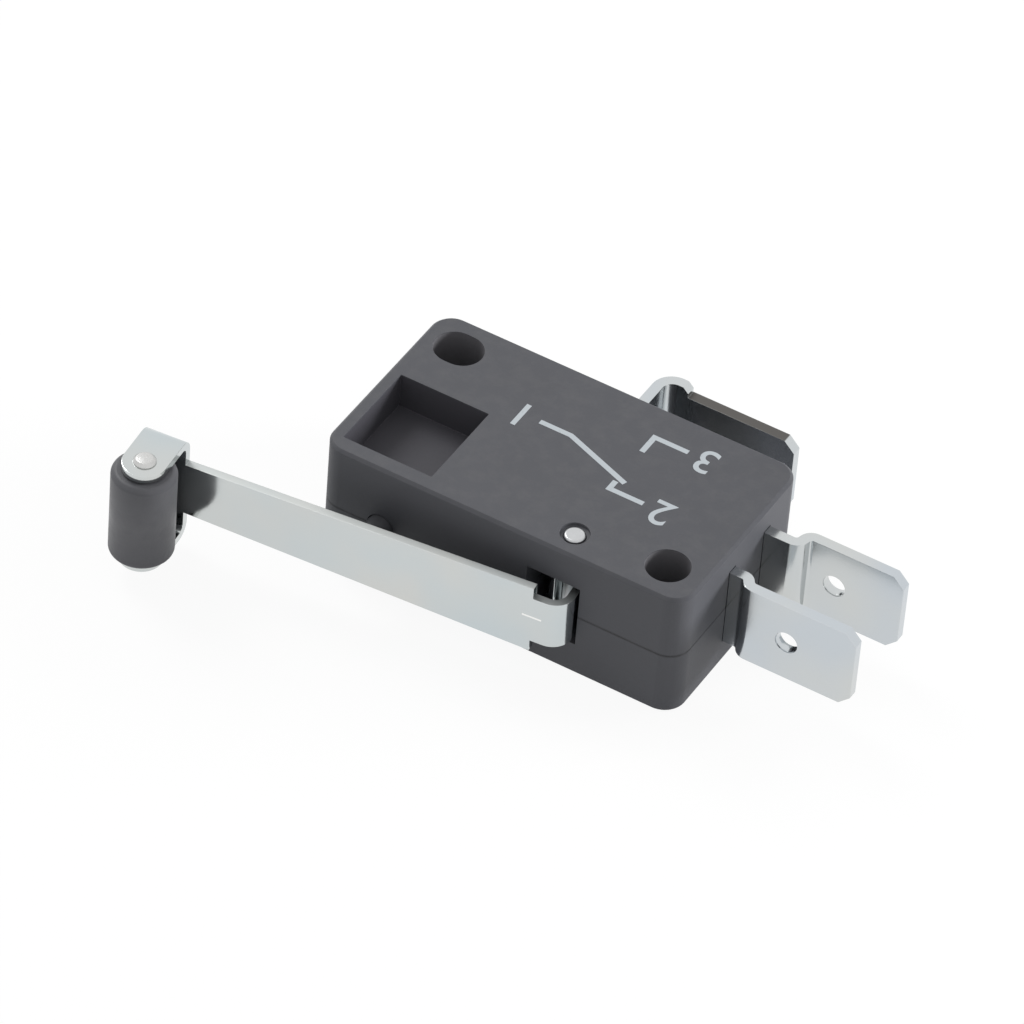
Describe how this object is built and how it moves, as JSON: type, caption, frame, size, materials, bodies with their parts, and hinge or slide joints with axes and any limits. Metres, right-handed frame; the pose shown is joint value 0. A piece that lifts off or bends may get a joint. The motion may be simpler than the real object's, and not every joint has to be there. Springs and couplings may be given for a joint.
{
  "type": "lever micro switch",
  "caption": "Snap-action micro switch: a moulded case with a long roller lever hinged at one side, three blade terminals and cross holes for screws.",
  "frame": {"origin": "axis of the round mounting hole, on the big face that the switch rests on", "axes": "+Z through the case's thickness, along the mounting holes; +X along the case's length, towards the two terminals on its end; -Y towards the plunger and the roller lever"},
  "size_m": [0.0491, 0.0301, 0.0103],
  "materials": {
    "case_moulding": "dark grey moulded plastic, fine matt texture",
    "pin_steel": "plain steel pin",
    "lever_steel": "plated spring steel, satin",
    "roller_moulding": "black moulded plastic, satin",
    "axle_steel": "riveted steel, satin",
    "plunger_moulding": "black moulded plastic",
    "rocker_steel": "stamped steel",
    "blade_copper": "copper alloy strip, bright",
    "contact_silver": "silver alloy rivet, bright",
    "spring_steel": "drawn spring wire",
    "terminal_brass": "tin plated brass strip, satin"
  },
  "bodies": {
    "case": {"base_shell": "case_moulding", "cover_shell": "case_moulding", "hinge_pin": "pin_steel", "rocker_pin": "pin_steel", "common_terminal": "terminal_brass", "normally_closed_terminal": "terminal_brass", "normally_open_terminal": "terminal_brass", "normally_closed_contact": "contact_silver", "normally_open_contact": "contact_silver"},
    "lever": {"lever": "lever_steel", "roller_axle": "axle_steel"},
    "roller": {"roller": "roller_moulding"},
    "plunger": {"plunger": "plunger_moulding"},
    "rocker": {"rocker": "rocker_steel"},
    "blade": {"contact_blade": "blade_copper", "moving_contact": "contact_silver", "tension_spring": "spring_steel"}
  },
  "joints": [
    {"name": "lever_hinge", "type": "hinge", "parent": "case", "child": "lever", "pos_m": [-0.0066, -0.0008, 0.00515], "axis": [0, 0, -1], "range_deg": [0, 5.5], "stiffness_Nm_per_rad": 0.11, "springref_deg": -2.86},
    {"name": "roller_spin", "type": "hinge", "parent": "lever", "child": "roller", "pos_m": [-0.03406, -0.01023, 0.00515], "axis": [0, 0, 1], "continuous": true},
    {"name": "plunger_slide", "type": "slide", "parent": "case", "child": "plunger", "axis": [0, 1, 0], "range_m": [0, 0.0014]},
    {"name": "rocker_tilt", "type": "hinge", "parent": "case", "child": "rocker", "pos_m": [-0.0096, 0.0034, 0.00515], "axis": [0, 0, -1], "range_deg": [0, 7.5], "deforming": ["tension_spring"]},
    {"name": "blade_tilt", "type": "hinge", "parent": "case", "child": "blade", "pos_m": [-0.0186, 0.0072, 0.00515], "axis": [0, 0, 1], "range_deg": [0, 2.2]}
  ],
  "couplings": [
    {"joint": "plunger_slide", "follows": "lever_hinge", "m_per_rad": 0.0135},
    {"joint": "rocker_tilt", "follows": "lever_hinge", "ratio": 1.2857},
    {"joint": "blade_tilt", "follows": "lever_hinge", "ratio": 0.365}
  ]
}
